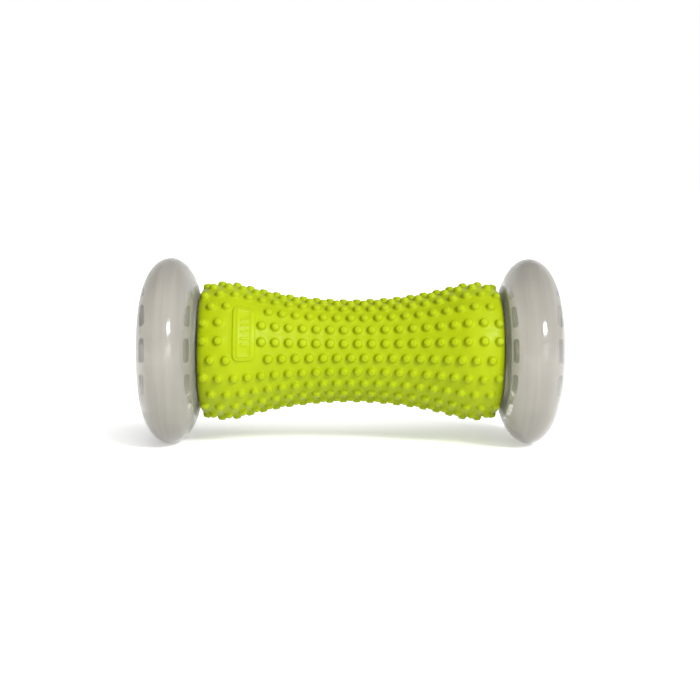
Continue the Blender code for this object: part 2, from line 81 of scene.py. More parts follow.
# Massage studs
ROWS_PER_HALF = 11
ROW_STEP = math.pi / ROWS_PER_HALF
STUD_PITCH = 5.21
END_PITCH = 5.75
EVEN_STUDS = 9
STUD_CORNERS = 18
STUD_PROFILE = (  # radius, height
    (2.1, 0.0),
    (1.98, 0.05),
    (1.87, 0.15),
    (1.77, 0.33),
    (1.66, 0.6),
    (1.51, 0.96),
    (1.34, 1.25),
    (1.11, 1.46),
    (0.84, 1.57),
    (0.55, 1.6),
    (0.3, 1.61),
)
PARTING_ANGLE = math.radians(23.3)  # of the parting line, from -Y towards +Z
PARTING_HALF_WIDTH = 0.22
PARTING_HEIGHT = 0.05
PARTING_FADE = 3.0  # over which the line fades out towards the sleeve's ends
PARTING_BREAK = 1.0  # from the badge to the line
FILL_STEP = 1.6  # between the plain points of the sleeve's skin
STUD_MARGIN = 0.45  # from a stud's base to the nearest plain point
LINE_MARGIN = 0.8  # from the parting line or the badge to the nearest plain point
END_MARGIN = 0.6  # from the skin's end to its last row of plain points

# The smooth badge patch
BADGE_CENTRE = -40.53
BADGE_HALF_LENGTH = 5.5  # no studs this close to its centre
BADGE_HALF_ANGLE = math.radians(36.0)
BADGE_HALF_U = 11.4  # around the sleeve
BADGE_HALF_S = 4.33  # along the sleeve
BADGE_CORNER = 2.3
BADGE_PROFILE = (  # inset from the patch's edge, height
    (-0.12, 0.0),
    (0.0, 0.07),
    (0.1, 0.25),
    (0.26, 0.42),
    (0.5, 0.46),
    (1.45, 0.46),
    (1.55, 0.5),
    (1.68, 0.62),
    (1.84, 0.62),
    (1.98, 0.5),
    (2.08, 0.46),
)
BAR_COUNT = 5
BAR_PITCH = 2.5
BAR_HALF_U = 0.5
BAR_HALF_S = 1.5
BAR_PROFILE = ((0.0, 0.46), (0.1, 0.56), (0.24, 0.6))

# Rounded outlines, and the steps in which shapes are meshed
MOST_OF_EDGE = 1 / 2.2  # that one rounded corner may take
HARDLY_BENT = 0.97  # the cosine between two edges that need no rounding
SMALLEST_CORNER = 0.15
CORNER_STEPS = 6
LONG_SIDE_STEPS = 14
SHORT_SIDE_STEPS = 6
INNER_STEPS = 10  # along the sleeve's inside, from its end to its middle
TURN_SEGMENTS = 128


def vec(x, y, z):
    """A point given in millimetres, in metres."""
    return Vector((x, y, z)) * MM


# Meshes


def make_piece(name, bm, body, node, material, smooth_angle=40.0):
    """Turns a bmesh around the axle into a piece that stands for a CAD node."""
    bmesh.ops.recalc_face_normals(bm, faces=bm.faces)
    bmesh.ops.translate(bm, verts=bm.verts, vec=AXLE)
    mesh = bpy.data.meshes.new(name)
    bm.to_mesh(mesh)
    bm.free()
    mesh.shade_smooth()
    mesh.set_sharp_from_angle(angle=math.radians(smooth_angle))
    mesh.materials.append(material)
    piece = bpy.data.objects.new(name, mesh)
    bpy.context.scene.collection.objects.link(piece)
    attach(piece, body)
    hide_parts(node)
    return piece


def turned(outline, segments=TURN_SEGMENTS):
    """Turns a closed outline of (place along the axle, radius) points about the X axis."""
    bm = bmesh.new()
    ring = [bm.verts.new(vec(x, 0, r)) for x, r in outline]
    edges = []
    for i, vert in enumerate(ring):
        if outline[i - 1][1] > 0 or outline[i][1] > 0:
            edges.append(bm.edges.new((ring[i - 1], vert)))
    bmesh.ops.spin(
        bm, geom=ring + edges, cent=(0, 0, 0), axis=(1, 0, 0), angle=math.tau, steps=segments, use_merge=True
    )
    bmesh.ops.remove_doubles(bm, verts=bm.verts, dist=1e-7)
    return bm


def rounded(outline, radius, steps=3):
    """The same closed outline with its corners rounded, except those on the axle and those hardly bent."""
    result = []
    count = len(outline)
    for i, corner in enumerate(outline):
        here = Vector(corner)
        before = Vector(outline[i - 1]) - here
        after = Vector(outline[(i + 1) % count]) - here
        reach = min(radius, before.length * MOST_OF_EDGE, after.length * MOST_OF_EDGE)
        hardly_bent = abs(before.normalized().dot(after.normalized())) > HARDLY_BENT
        if corner[1] < 1e-6 or hardly_bent:
            result.append(tuple(here))
            continue
        start, end = here + before.normalized() * reach, here + after.normalized() * reach
        for step in range(steps + 1):
            t = step / steps
            point = start * (1 - t) ** 2 + here * 2 * t * (1 - t) + end * t**2
            result.append(tuple(point))
    return result


def raise_rings(bm, ring, rings, close=True):
    """Joins a ring of verts to further rings of points, and closes the last one around its middle."""
    for points in rings:
        fresh = [bm.verts.new(point) for point in points]
        for i, vert in enumerate(ring):
            j = (i + 1) % len(ring)
            bm.faces.new((vert, ring[j], fresh[j], fresh[i]))
        ring = fresh
    if close:
        middle = bm.verts.new(sum((vert.co for vert in ring), Vector()) / len(ring))
        for i, vert in enumerate(ring):
            bm.faces.new((vert, ring[(i + 1) % len(ring)], middle))
    return ring


# The sleeve. Its skin is laid out flat in millimetres: u around the sleeve and s along its outline.


def crest_centre():
    r = CREST_RADIUS - CREST_ARC
    x = math.sqrt((WAIST_ARC + CREST_ARC) ** 2 - (WAIST_RADIUS + WAIST_ARC - r) ** 2)
    return x, r


def arc_ends():
    """The slope where waist and crest meet, and how far along the outline each of its three arcs ends."""
    join_slope = math.asin(crest_centre()[0] / (WAIST_ARC + CREST_ARC))
    waist = WAIST_ARC * join_slope
    crest = waist + CREST_ARC * (join_slope + CORNER_SLOPE)
    return join_slope, waist, crest, crest + CORNER_ARC * (math.pi / 2 - CORNER_SLOPE)


ARC_ENDS = arc_ends()
INNER_END = ARC_ENDS[2] * 0.94  # where the sleeve's inside starts to follow its outline
SKIN_END = ARC_ENDS[3]
SKIN_HALF_U = math.pi * CREST_RADIUS


def outline_point(s, depth=0.0):
    """(x, radius) at the distance s along the bare outline from the waist, or depth below it."""
    join_slope, waist_end, crest_end, _ = ARC_ENDS
    along = abs(s)
    if along <= waist_end:
        slope = along / WAIST_ARC
        x = WAIST_ARC * math.sin(slope)
        r = WAIST_RADIUS + WAIST_ARC * (1 - math.cos(slope))
    else:
        x, r = crest_centre()
        slope = join_slope - (along - waist_end) / CREST_ARC
        arc = CREST_ARC
        if along > crest_end:
            x += (CREST_ARC - CORNER_ARC) * math.sin(CORNER_SLOPE)
            r += (CREST_ARC - CORNER_ARC) * math.cos(CORNER_SLOPE)
            slope = -CORNER_SLOPE - (along - crest_end) / CORNER_ARC
            arc = CORNER_ARC
        x -= arc * math.sin(slope)
        r += arc * math.cos(slope)
    x += depth * math.sin(slope)
    r -= depth * math.cos(slope)
    return math.copysign(x, s), r


def on_sleeve(u, s, height=0.0):
    """The place of a flat point, or height above it, around the axle line."""
    x, r = outline_point(s, -height)
    angle = PARTING_ANGLE + u / CREST_RADIUS
    return vec(x, -r * math.cos(angle), r * math.sin(angle))


def stud_places():
    """(u, s) of each stud. The rows mirror each other about the parting line."""
    straight = [(i + 0.5) * STUD_PITCH for i in range(EVEN_STUDS)]
    straight += [straight[-1] + i * END_PITCH for i in (1, 2)]
    shifted = [i * STUD_PITCH for i in range(EVEN_STUDS)]
    shifted += [straight[-1] - (i + 0.5) * END_PITCH for i in (1, 0)]
    places = []
    for row in range(ROWS_PER_HALF):
        columns = shifted if row % 2 else straight
        columns = sorted({way * s for s in columns for way in (-1, 1)})
        angle = (row + 0.5) * ROW_STEP
        for s in columns:
            if angle > BADGE_HALF_ANGLE or abs(s - BADGE_CENTRE) > BADGE_HALF_LENGTH:
                places += [(way * angle * CREST_RADIUS, s) for way in (-1, 1)]
    return places


def stud_ring(u, s, radius):
    """Flat corners of a stud at this radius, stretched around the sleeve where the sleeve is thinner."""
    stretch = CREST_RADIUS / outline_point(s)[1]
    turns = [math.tau * i / STUD_CORNERS for i in range(STUD_CORNERS)]
    return [(u + radius * math.sin(t) * stretch, s + radius * math.cos(t)) for t in turns]


def add_stud(bm, u, s, base):
    up = (on_sleeve(u, s, 1.0) - on_sleeve(u, s)).normalized() * MM
    rings = []
    for radius, height in STUD_PROFILE[1:]:
        rings.append([on_sleeve(*corner) + up * height for corner in stud_ring(u, s, radius)])
    raise_rings(bm, base, rings)


def rounded_patch(centre_u, centre_s, half_u, half_s, corner, inset):
    """Flat points of a rounded rectangle. It has the same number of points at every inset."""
    corner = max(corner - inset, SMALLEST_CORNER)
    reach_u, reach_s = half_u - inset - corner, half_s - inset - corner
    corners = ((1, 1), (-1, 1), (-1, -1), (1, -1))

    def corner_point(quarter, turn):
        way_u, way_s = corners[quarter % 4]
        u = way_u * reach_u + corner * math.cos(turn)
        s = way_s * reach_s + corner * math.sin(turn)
        return centre_u + u, centre_s + s

    points = []
    for quarter in range(4):
        turns = [math.pi / 2 * (quarter + step / CORNER_STEPS) for step in range(CORNER_STEPS + 1)]
        points += [corner_point(quarter, turn) for turn in turns]
        last_u, last_s = points[-1]
        next_u, next_s = corner_point(quarter + 1, turns[-1])
        steps = SHORT_SIDE_STEPS if quarter % 2 else LONG_SIDE_STEPS
        for step in range(1, steps):
            t = step / steps
            points.append((last_u + (next_u - last_u) * t, last_s + (next_s - last_s) * t))
    return points


def lifted(ring, height):
    """The places of a flat ring's points at this height above the sleeve."""
    return [on_sleeve(u, s, height) for u, s in ring]


def badge_ring(inset):
    return rounded_patch(0, BADGE_CENTRE, BADGE_HALF_U, BADGE_HALF_S, BADGE_CORNER, inset)


def bar_ring(number, inset):
    u = (number - (BAR_COUNT - 1) / 2) * BAR_PITCH
    return rounded_patch(u, BADGE_CENTRE, BAR_HALF_U, BAR_HALF_S, BAR_HALF_U, inset)


def lay_sheet(bm, points, holes):
    """Meshes the skin through flat (u, s, height) points and around holes, and returns each hole's verts."""
    heights = [point[2] for point in points]
    flat = [Vector(point[:2]) for point in points]
    owner = [-1] * len(flat)
    edges = []
    for number, (ring, height) in enumerate(holes):
        first = len(flat)
        flat += [Vector(corner) for corner in ring]
        heights += [height] * len(ring)
        owner += [number] * len(ring)
        edges += [(first + i, first + (i + 1) % len(ring)) for i in range(len(ring))]
    laid, _, faces, sources, _, _ = geometry.delaunay_2d_cdt(flat, edges, [], 0, 1e-6, True)
    source = [found[0] for found in sources]
    verts = [bm.verts.new(on_sleeve(p.x, p.y, heights[i])) for p, i in zip(laid, source)]
    for face in faces:
        owners = {owner[source[i]] for i in face}
        if len(owners) > 1 or -1 in owners:
            bm.faces.new([verts[i] for i in face])
    rings = [[] for _ in holes]
    for i, vert in sorted(zip(source, verts), key=lambda pair: pair[0]):
        if owner[i] >= 0:
            rings[owner[i]].append(vert)
    return rings


def parting_points():
    """The fine raised line that the mould leaves along the front and along the back of the sleeve."""
    count = round(2 * SKIN_END / FILL_STEP)
    places = [SKIN_END * (2 * i / count - 1) for i in range(1, count)]
    points = []
    for s in places:
        height = PARTING_HEIGHT * min(1.0, (SKIN_END - abs(s)) / PARTING_FADE)
        for way in (-1, 1):
            points.append((way * SKIN_HALF_U, s, height))
            points.append((way * (SKIN_HALF_U - PARTING_HALF_WIDTH), s, 0.0))
        if abs(s - BADGE_CENTRE) > BADGE_HALF_S + PARTING_BREAK:
            points += [(-PARTING_HALF_WIDTH, s, 0.0), (0.0, s, height), (PARTING_HALF_WIDTH, s, 0.0)]
    return points


def fill_points(studs):
    """Plain points between the studs, clear of them, of the parting line and of the badge."""
    tree = kdtree.KDTree(len(studs))
    for i, (u, s) in enumerate(studs):
        tree.insert(on_sleeve(u, s), i)
    tree.balance()
    clear = (STUD_PROFILE[0][0] + STUD_MARGIN) * MM
    columns = round(2 * SKIN_HALF_U / FILL_STEP)
    rows = round(2 * SKIN_END / FILL_STEP)
    points = []
    for row in range(rows + 1):
        s = (SKIN_END - END_MARGIN) * (2 * row / rows - 1)
        for column in range(columns):
            u = SKIN_HALF_U * (2 * (column + 0.5 * (row % 2) + 0.25) / columns - 1)
            by_parting = min(abs(u), SKIN_HALF_U - abs(u)) < LINE_MARGIN
            along_badge = abs(s - BADGE_CENTRE) < BADGE_HALF_S + LINE_MARGIN
            by_badge = along_badge and abs(u) < BADGE_HALF_U + LINE_MARGIN
            if not by_parting and not by_badge and tree.find(on_sleeve(u, s))[2] > clear:
                points.append((u, s, 0.0))
    return points


def skin_edges():
    """Flat points along the skin's two round ends."""
    turns = [SKIN_HALF_U * (2 * i / END_SEGMENTS - 1) for i in range(END_SEGMENTS + 1)]
    return [(u, end, 0.0) for u in turns for end in (-SKIN_END, SKIN_END)]


def add_badge(bm, base):
    """The raised patch with its inner frame and a plain row of bars."""
    rings = [lifted(badge_ring(inset), height) for inset, height in BADGE_PROFILE[1:]]
    raise_rings(bm, base, rings, close=False)
    inset, top = BADGE_PROFILE[-1]
    edge = [(*corner, top) for corner in badge_ring(inset)]
    bars = [(bar_ring(i, BAR_PROFILE[0][0]), top) for i in range(BAR_COUNT)]
    for i, ring in enumerate(lay_sheet(bm, edge, bars)):
        raise_rings(bm, ring, [lifted(bar_ring(i, inset), height) for inset, height in BAR_PROFILE[1:]])


def grow_ring(bm, edges, x, r):
    """Extrudes a round opening to a new ring at this place and radius, and returns the ring's edges."""
    made = bmesh.ops.extrude_edge_only(bm, edges=edges)["geom"]
    verts = {item for item in made if isinstance(item, bmesh.types.BMVert)}
    for vert in verts:
        outward = Vector((0, vert.co.y, vert.co.z)).normalized()
        vert.co = outward * r * MM + Vector((x * MM, 0, 0))
    return [item for item in made if isinstance(item, bmesh.types.BMEdge) and verts.issuperset(item.verts)]


def lip_rings():
    """(x, radius) of the rings that turn the sleeve's end in over the core and lead to its middle."""
    end_x, end_r = outline_point(SKIN_END)
    rings = [(end_x - 0.02, end_r - 0.8)]
    rings += [(end_x - 0.15, LIP_RADIUS + 0.35), (end_x - 0.5, LIP_RADIUS), (CORE_END, LIP_RADIUS)]
    rings.append((CORE_END, CREST_RADIUS - SLEEVE_THICKNESS - 0.4))
    for i in range(1, INNER_STEPS):
        rings.append(outline_point(INNER_END * (1 - i / INNER_STEPS), SLEEVE_THICKNESS))
    return rings


def make_sleeve(material):
    bm = bmesh.new()
    studs = stud_places()
    points = parting_points() + fill_points(studs) + skin_edges()
    holes = [(stud_ring(u, s, STUD_PROFILE[0][0]), 0.0) for u, s in studs]
    holes.append((badge_ring(BADGE_PROFILE[0][0]), 0.0))
    rings = lay_sheet(bm, points, holes)
    for (u, s), ring in zip(studs, rings):
        add_stud(bm, u, s, ring)
    add_badge(bm, rings[-1])
    bmesh.ops.remove_doubles(bm, verts=bm.verts, dist=1e-7)
    loose = [edge for edge in bm.edges if edge.is_boundary]
    last = []
    for way in (-1, 1):
        edges = [edge for edge in loose if edge.verts[0].co.x * way > 0]
        for x, r in lip_rings():
            edges = grow_ring(bm, edges, way * x, r)
        last += edges
    bmesh.ops.bridge_loops(bm, edges=last)
    name = "massage_sleeve"
    return make_piece(f"{name}_skin", bm, "roller_body", name, material, 75.0)


# Wheels. Places across a wheel are measured from its middle plane.

TYRE_RADIUS = extent("left_tyre")[1].z / MM
FLANK_RADIUS = 18.0
BEAD_RADIUS = 21.0
BEAD_TURN = math.asin((BEAD_RADIUS - FLANK_RADIUS) / (TYRE_RADIUS - FLANK_RADIUS))
TYRE_HALF_WIDTH = extent("left_tyre")[1].x / MM / math.cos(BEAD_TURN)
MATT_START = 9.2  # from a tyre's middle plane to where its flanks start to turn matt
MATT_END = 10.8
TYRE_ARC_STEPS = 56
TREAD_LINE_HEIGHT = 0.05
TYRE_SEGMENTS = 160
RIM_OUTER = 25.0
RIM_INNER = 23.0
RIM_HALF_WIDTH = 9.0
RIM_EDGE = 0.4
RIM_SEGMENTS = 120
BOND = 0.05  # how far the tyre's skin reaches into the rim that it is moulded on
WINDOW_COUNT = 12
WINDOW_LENGTH = 8.8
WINDOW_WIDTH = 2.9
WINDOW_CORNER = 1.35
WINDOW_OFFSET = 6.2
WINDOW_TURN = math.radians(7.0)  # of the front window, from -Y towards +Z
CUTTER_REACH = 0.8  # how far a window's cutter stands out of the rim, inside and outside
BOSS_RADIUS = 14.0
BOSS_HALF_WIDTH = extent("left_hub")[1].x / MM
BOSS_EDGE = 0.5
BOSS_SEGMENTS = 96
BEARING_SEAT = 11.3
BEARING_STOP = 9.3
STOP_PLACES = (-2.95, -1.05)
SPOKE_COUNT = 6
SPOKE_HALF_THICKNESS = 1.2
SPOKE_HALF_WIDTH = 7.0
SPOKE_EDGE = 0.4
SPOKE_ROOT = 0.9  # how far a spoke reaches into the boss and the rim
CAP_RADIUS = extent("left_hub_cap")[1].y / MM
CAP_FACE = 11.8
CAP_THICKNESS = 1.1
CAP_WALL = 1.4
CAP_SKIRT_RADIUS = 11.0
CAP_SKIRT_END = 6.55
CAP_EDGE = 0.35
CAP_GROOVES = (3.2, 10.6)
CAP_GROOVE_DEPTH = 0.2
CAP_GROOVE_HALF_WIDTH = 0.25


def outboard(side, bm):
    """Moves a piece built around a wheel's middle plane, +X outboard, to its wheel."""
    turn = Matrix.Rotation(math.pi, 4, "Z") if SIDES[side] < 0 else Matrix.Identity(4)
    bmesh.ops.transform(bm, verts=bm.verts, matrix=Matrix.Translation(vec(WHEEL_PLACE[side], 0, 0)) @ turn)
    return bm


def make_tyre(side, material):
    """An oval section hooked over both edges of the rim, with the mould's fine line round the tread."""
    height = TYRE_RADIUS - FLANK_RADIUS
    outline = []
    for i in range(TYRE_ARC_STEPS + 1):
        turn = BEAD_TURN + (math.pi - 2 * BEAD_TURN) * i / TYRE_ARC_STEPS
        lift = TREAD_LINE_HEIGHT if i == TYRE_ARC_STEPS // 2 else 0.0
        r = FLANK_RADIUS + height * math.sin(turn) - TREAD_LINE_HEIGHT + lift
        outline.append((-TYRE_HALF_WIDTH * math.cos(turn), r))
    groove = RIM_HALF_WIDTH - BOND
    seat = RIM_OUTER - BOND
    outline += [(groove, BEAD_RADIUS), (groove, seat), (-groove, seat), (-groove, BEAD_RADIUS)]
    bm = outboard(side, turned(outline, TYRE_SEGMENTS))
    return make_piece(f"{side}_tyre_skin", bm, f"{side}_wheel", f"{side}_tyre", material)


def spoke(turn):
    """A block with rounded edges, from the boss to the rim."""
    bm = bmesh.new()
    middle = (BOSS_RADIUS + RIM_INNER) / 2
    half = vec(SPOKE_HALF_WIDTH, (RIM_INNER - BOSS_RADIUS) / 2 + SPOKE_ROOT, SPOKE_HALF_THICKNESS)
    placed = Matrix.Rotation(turn, 4, "X") @ Matrix.Translation(vec(0, middle, 0))
    bmesh.ops.create_cube(bm, size=2.0, matrix=placed @ Matrix.Diagonal((*half, 1)))
    bmesh.ops.bevel(bm, geom=bm.edges[:], offset=SPOKE_EDGE * MM, segments=3, affect="EDGES", profile=0.5)
    return bm


def window_cutter(place, turn):
    """An upright bar with round corners, which cuts one window in the rim."""
    bm = bmesh.new()
    ring = rounded_patch(0, 0, WINDOW_LENGTH / 2, WINDOW_WIDTH / 2, WINDOW_CORNER, 0.0)
    low = [bm.verts.new(vec(place + s, RIM_INNER - CUTTER_REACH, u)) for u, s in ring]
    high = [bm.verts.new(vec(place + s, RIM_OUTER + CUTTER_REACH, u)) for u, s in ring]
    bm.faces.new(low)
    bm.faces.new(high)
    for i, vert in enumerate(low):
        j = (i + 1) % len(low)
        bm.faces.new((vert, low[j], high[j], high[i]))
    bmesh.ops.rotate(bm, verts=bm.verts, cent=(0, 0, 0), matrix=Matrix.Rotation(turn, 3, "X"))
    bmesh.ops.recalc_face_normals(bm, faces=bm.faces)
    return bm


def joined(pieces):
    """Several bmeshes as separate bodies of one mesh."""
    whole = bmesh.new()
    for piece in pieces:
        scratch = bpy.data.meshes.new("scratch")
        piece.to_mesh(scratch)
        piece.free()
        whole.from_mesh(scratch)
        bpy.data.meshes.remove(scratch)
    bmesh.ops.recalc_face_normals(whole, faces=whole.faces)
    mesh = bpy.data.meshes.new("joined")
    whole.to_mesh(mesh)
    whole.free()
    return mesh


def combined(mesh, operation, pieces):
    """A mesh united with these bmeshes, or cut by them."""
    target = bpy.data.objects.new("target", mesh)
    helper = bpy.data.objects.new("helper", joined(pieces))
    for obj in (target, helper):
        bpy.context.scene.collection.objects.link(obj)
    modifier = target.modifiers.new("combine", "BOOLEAN")
    modifier.operation = operation
    modifier.solver = "EXACT"
    modifier.object = helper
    modifier.use_self = operation == "UNION"
    evaluated = target.evaluated_get(bpy.context.evaluated_depsgraph_get())
    result = bpy.data.meshes.new_from_object(evaluated)
    for obj in (target, helper):
        bpy.data.objects.remove(obj)
    return result


def hub_mesh(first_turn):
    """The hub around the origin: boss, spokes, and a rim with a row of windows near each edge."""
    boss = [
        (-BOSS_HALF_WIDTH, BOSS_RADIUS),
        (BOSS_HALF_WIDTH, BOSS_RADIUS),
        (BOSS_HALF_WIDTH, BEARING_SEAT),
        (STOP_PLACES[1], BEARING_SEAT),
        (STOP_PLACES[1], BEARING_STOP),
        (STOP_PLACES[0], BEARING_STOP),
        (STOP_PLACES[0], BEARING_SEAT),
        (-BOSS_HALF_WIDTH, BEARING_SEAT),
    ]
    rim = [
        (-RIM_HALF_WIDTH, RIM_OUTER),
        (RIM_HALF_WIDTH, RIM_OUTER),
        (RIM_HALF_WIDTH, RIM_INNER),
        (-RIM_HALF_WIDTH, RIM_INNER),
    ]
    between_windows = math.pi / WINDOW_COUNT
    spokes = [spoke(first_turn + between_windows + math.tau * i / SPOKE_COUNT) for i in range(SPOKE_COUNT)]
    windows = []
    for i in range(WINDOW_COUNT):
        turn = first_turn + math.tau * i / WINDOW_COUNT
        windows += [window_cutter(way * WINDOW_OFFSET, turn) for way in (-1, 1)]
    base = joined([turned(rounded(boss, BOSS_EDGE), BOSS_SEGMENTS)])
    united = combined(base, "UNION", [turned(rounded(rim, RIM_EDGE), RIM_SEGMENTS), *spokes])
    return combined(united, "DIFFERENCE", windows)


def make_hub(side, material):
    bm = bmesh.new()
    bm.from_mesh(hub_mesh(-SIDES[side] * WINDOW_TURN))
    outboard(side, bm)
    return make_piece(f"{side}_hub_casting", bm, f"{side}_wheel", f"{side}_hub", material, 35.0)


def make_hub_cap(side, material):
    """A flat round cap with two fine turned grooves in its face and a skirt that presses into the boss."""
    under = CAP_FACE - CAP_THICKNESS
    face = [(CAP_FACE, 0)]
    for groove in CAP_GROOVES:
        face.append((CAP_FACE, groove - CAP_GROOVE_HALF_WIDTH))
        face.append((CAP_FACE - CAP_GROOVE_DEPTH, groove))
        face.append((CAP_FACE, groove + CAP_GROOVE_HALF_WIDTH))
    rest = [
        (CAP_FACE, CAP_RADIUS),
        (under, CAP_RADIUS),
        (under, CAP_SKIRT_RADIUS),
        (CAP_SKIRT_END, CAP_SKIRT_RADIUS),
        (CAP_SKIRT_END, CAP_SKIRT_RADIUS - CAP_WALL),
        (under, CAP_SKIRT_RADIUS - CAP_WALL),
        (under, 0),
    ]
    bm = outboard(side, turned(face + rounded(rest, CAP_EDGE)))
    name = f"{side}_hub_cap"
    return make_piece(f"{name}_face", bm, f"{side}_wheel", name, material, 30.0)


# Materials


def map_range(tree, value, low, high, start, end):
    """A node that carries a value from the range start to end over to the range low to high."""
    node = tree.nodes.new("ShaderNodeMapRange")
    for socket, number in (("From Min", start), ("From Max", end), ("To Min", low), ("To Max", high)):
        node.inputs[socket].default_value = number
    tree.links.new(value, node.inputs["Value"])
    return node.outputs["Result"]


class Graph:
    """A Principled material whose nodes are added and joined by short calls."""

    def __init__(self, name, **constants):
        self.material = bpy.data.materials.new(name)
        self.material.use_nodes = True
        self.tree = self.material.node_tree
        self.shader = self.tree.nodes["Principled BSDF"]
        self.output = self.tree.nodes["Material Output"]
        for socket, value in constants.items():
            self.shader.inputs[socket.replace("_", " ")].default_value = value
        self.place = self.add("ShaderNodeTexCoord").outputs["Object"]

    def add(self, kind, **settings):
        node = self.tree.nodes.new(kind)
        for name, value in settings.items():
            setattr(node, name, value)
        return node

    def link(self, source, target):
        self.tree.links.new(source, target)

    def stretched(self, scale):
        """The object's own coordinates, scaled along X, Y and Z."""
        mapping = self.add("ShaderNodeMapping")
        mapping.inputs["Scale"].default_value = scale
        self.link(self.place, mapping.inputs["Vector"])
        return mapping.outputs["Vector"]

    def noise(self, scale, detail=3.0, vector=None):
        node = self.add("ShaderNodeTexNoise")
        node.inputs["Scale"].default_value = scale
        node.inputs["Detail"].default_value = detail
        self.link(vector or self.place, node.inputs["Vector"])
        return node.outputs["Fac"]

    def ramp(self, value, stops):
        """A colour ramp through (position, colour) stops."""
        node = self.add("ShaderNodeValToRGB")
        ramp = node.color_ramp
        while len(ramp.elements) < len(stops):
            ramp.elements.new(0.5)
        for element, (position, colour) in zip(ramp.elements, stops):
            element.position = position
            element.color = (*colour, 1.0)
        self.link(value, node.inputs["Fac"])
        return node.outputs["Color"]

    def vary(self, socket, noise, low, high):
        """Lets a noise vary one of the shader's values between low and high."""
        self.link(map_range(self.tree, noise, low, high, 0.3, 0.7), self.shader.inputs[socket])

    def mixed(self, first, second, factor):
        """Two colours mixed. factor is a number or a socket."""
        node = self.add("ShaderNodeMix", data_type="RGBA")
        if isinstance(factor, float):
            node.inputs["Factor"].default_value = factor
        else:
            self.link(factor, node.inputs["Factor"])
        self.link(first, node.inputs[6])
        self.link(second, node.inputs[7])
        return node.outputs[2]

    def calculated(self, operation, *values):
        """The result of a math node. Each value is a number or a socket."""
        node = self.add("ShaderNodeMath", operation=operation)
        for value, socket in zip(values, node.inputs):
            if isinstance(value, float):
                socket.default_value = value
            else:
                self.link(value, socket)
        return node.outputs["Value"]

    def bump(self, height, distance, strength=1.0):
        node = self.add("ShaderNodeBump")
        node.inputs["Distance"].default_value = distance
        node.inputs["Strength"].default_value = strength
        self.link(height, node.inputs["Height"])
        self.link(node.outputs["Normal"], self.shader.inputs["Normal"])


def rubber_material():
    """Soft lime rubber: matt, with a fine moulded grain and faint cloudy variation."""
    graph = Graph("lime_rubber_skin", Specular_IOR_Level=0.1)
    cloud = graph.noise(38.0, 4.0)
    colour = graph.ramp(cloud, [(0.3, (0.211, 0.269, 0.001)), (0.7, (0.235, 0.293, 0.0015))])
    graph.link(colour, graph.shader.inputs["Base Color"])
    grain = graph.noise(2600.0, 2.0)
    graph.vary("Roughness", graph.noise(160.0), 0.35, 0.44)
    graph.bump(grain, 0.00004, 0.6)
    return graph.material


def from_axle(graph):
    """The distance of a point from the axle line, in metres."""
    across = graph.add("ShaderNodeVectorMath", operation="MULTIPLY_ADD")
    graph.link(graph.place, across.inputs[0])
    across.inputs[1].default_value = (0.0, 1.0, 1.0)
    across.inputs[2].default_value = (0.0, 0.0, -AXLE.z)
    radius = graph.add("ShaderNodeVectorMath", operation="LENGTH")
    graph.link(across.outputs["Vector"], radius.inputs[0])
    return radius.outputs["Value"]


def from_wheel_plane(graph):
    """The distance of a point from the middle plane of its wheel, in metres."""
    place = graph.add("ShaderNodeSeparateXYZ")
    graph.link(graph.place, place.inputs["Vector"])
    from_middle = graph.calculated("ABSOLUTE", place.outputs["X"])
    return graph.calculated("ABSOLUTE", graph.calculated("SUBTRACT", from_middle, WHEEL_PLACE["right"] * MM))


def urethane_material():
    """Smoky translucent urethane: glossy outside, with faint flow lines round the tyre inside."""
    graph = Graph("smoke_urethane_body", Transmission_Weight=0.87, IOR=1.45, Specular_IOR_Level=0.35)
    streaks = graph.noise(1.0, 3.0, graph.stretched((480.0, 16.0, 16.0)))
    haze = graph.noise(30.0, 3.0)
    flow = graph.ramp(streaks, [(0.3, (0.49, 0.475, 0.425)), (0.7, (0.68, 0.66, 0.62))])
    cloud = graph.ramp(haze, [(0.2, (0.56, 0.545, 0.505)), (0.8, (0.64, 0.62, 0.585))])
    graph.link(graph.mixed(flow, cloud, 0.3), graph.shader.inputs["Base Color"])
    matt_flank = map_range(graph.tree, from_wheel_plane(graph), 0.14, 0.4, MATT_START * MM, MATT_END * MM)
    graph.link(matt_flank, graph.shader.inputs["Roughness"])
    graph.bump(streaks, 0.00002, 0.3)
    smoke = graph.add("ShaderNodeVolumeAbsorption")
    smoke.inputs["Color"].default_value = (0.58, 0.56, 0.48, 1.0)
    smoke.inputs["Density"].default_value = 8.0
    graph.link(smoke.outputs["Volume"], graph.output.inputs["Volume"])
    return graph.material


def cap_material():
    """Satin plastic in its natural colour, with a fine spark-eroded grain."""
    graph = Graph("cap_plastic_satin", Subsurface_Weight=0.08)
    graph.shader.inputs["Subsurface Radius"].default_value = (0.002, 0.002, 0.0015)
    colour = graph.ramp(graph.noise(60.0, 4.0), [(0.3, (0.4, 0.385, 0.36)), (0.7, (0.46, 0.445, 0.42))])
    graph.link(colour, graph.shader.inputs["Base Color"])
    graph.vary("Roughness", graph.noise(220.0), 0.23, 0.35)
    graph.bump(graph.noise(1800.0, 2.0), 0.00003, 0.5)
    return graph.material


